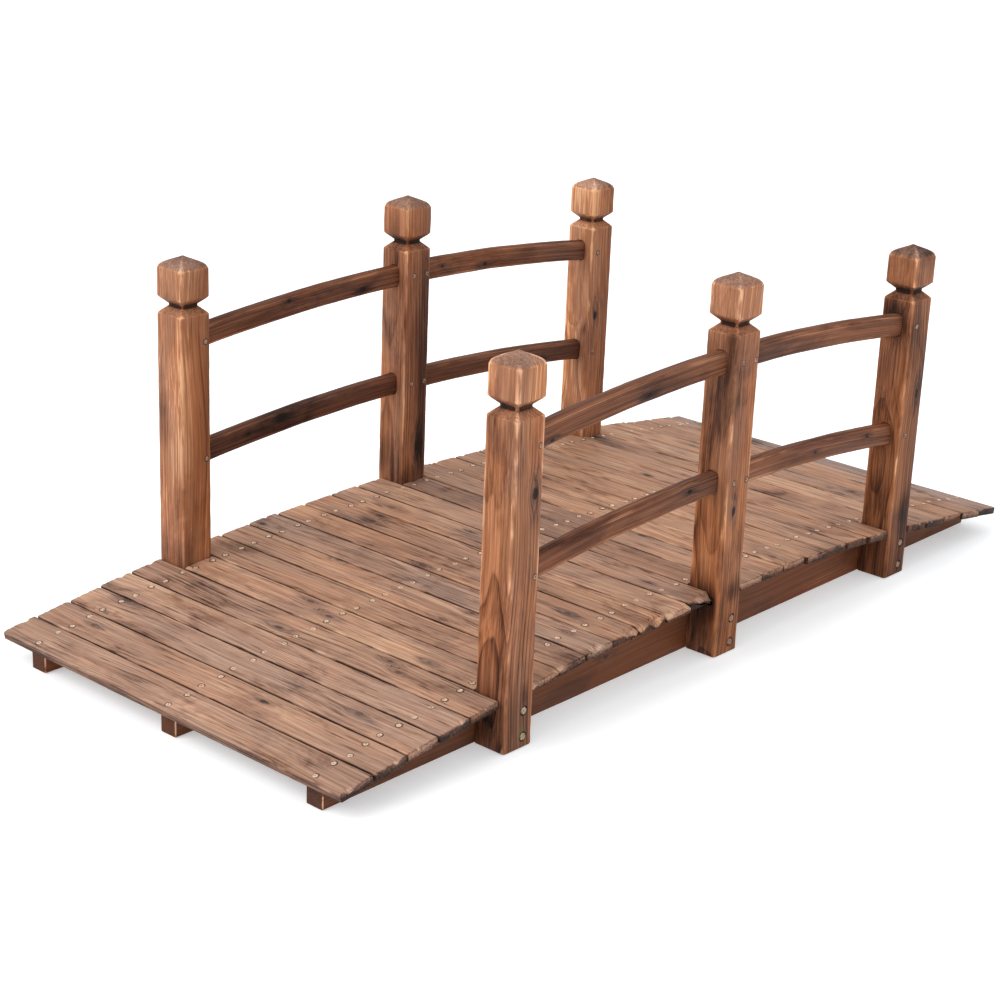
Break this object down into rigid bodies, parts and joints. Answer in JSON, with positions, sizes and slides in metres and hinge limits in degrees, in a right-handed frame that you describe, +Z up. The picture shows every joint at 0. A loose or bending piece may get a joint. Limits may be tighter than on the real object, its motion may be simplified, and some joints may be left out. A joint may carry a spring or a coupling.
{
  "type": "wooden footbridge",
  "caption": "Low arched wooden garden footbridge: slatted deck on flat-bottomed stringers, square posts with carved heads and curved handrails along both sides.",
  "frame": {"origin": "middle of the footprint, on the ground", "axes": "+X along the walkway to the right-hand end, +Y across the walkway to the far railing, +Z up"},
  "size_m": [1.5232, 0.687, 0.562],
  "materials": {
    "deck_wood": "brown stain, weathered, rough",
    "stringer_wood": "brown stain, rough sawn",
    "post_wood": "scorched and brown stained, worn edges",
    "rail_wood": "dark brown stain, satin"
  },
  "bodies": {
    "root": {"deck_board_01": "deck_wood", "deck_board_02": "deck_wood", "deck_board_03": "deck_wood", "deck_board_04": "deck_wood", "deck_board_05": "deck_wood", "deck_board_06": "deck_wood", "deck_board_07": "deck_wood", "deck_board_08": "deck_wood", "deck_board_09": "deck_wood", "deck_board_10": "deck_wood", "deck_board_11": "deck_wood", "deck_board_12": "deck_wood", "deck_board_13": "deck_wood", "deck_board_14": "deck_wood", "deck_board_15": "deck_wood", "deck_board_16": "deck_wood", "deck_board_17": "deck_wood", "deck_board_18": "deck_wood", "deck_board_19": "deck_wood", "deck_board_20": "deck_wood", "deck_board_21": "deck_wood", "deck_board_22": "deck_wood", "deck_board_23": "deck_wood", "deck_board_24": "deck_wood", "deck_board_25": "deck_wood", "deck_board_26": "deck_wood", "deck_board_27": "deck_wood", "stringer_near": "stringer_wood", "stringer_middle": "stringer_wood", "stringer_far": "stringer_wood", "post_near_left": "post_wood", "post_near_middle": "post_wood", "post_near_right": "post_wood", "post_far_left": "post_wood", "post_far_middle": "post_wood", "post_far_right": "post_wood", "upper_rail_near_left": "rail_wood", "upper_rail_near_right": "rail_wood", "upper_rail_far_left": "rail_wood", "upper_rail_far_right": "rail_wood", "lower_rail_near_left": "rail_wood", "lower_rail_near_right": "rail_wood", "lower_rail_far_left": "rail_wood", "lower_rail_far_right": "rail_wood"}
  },
  "joints": []
}
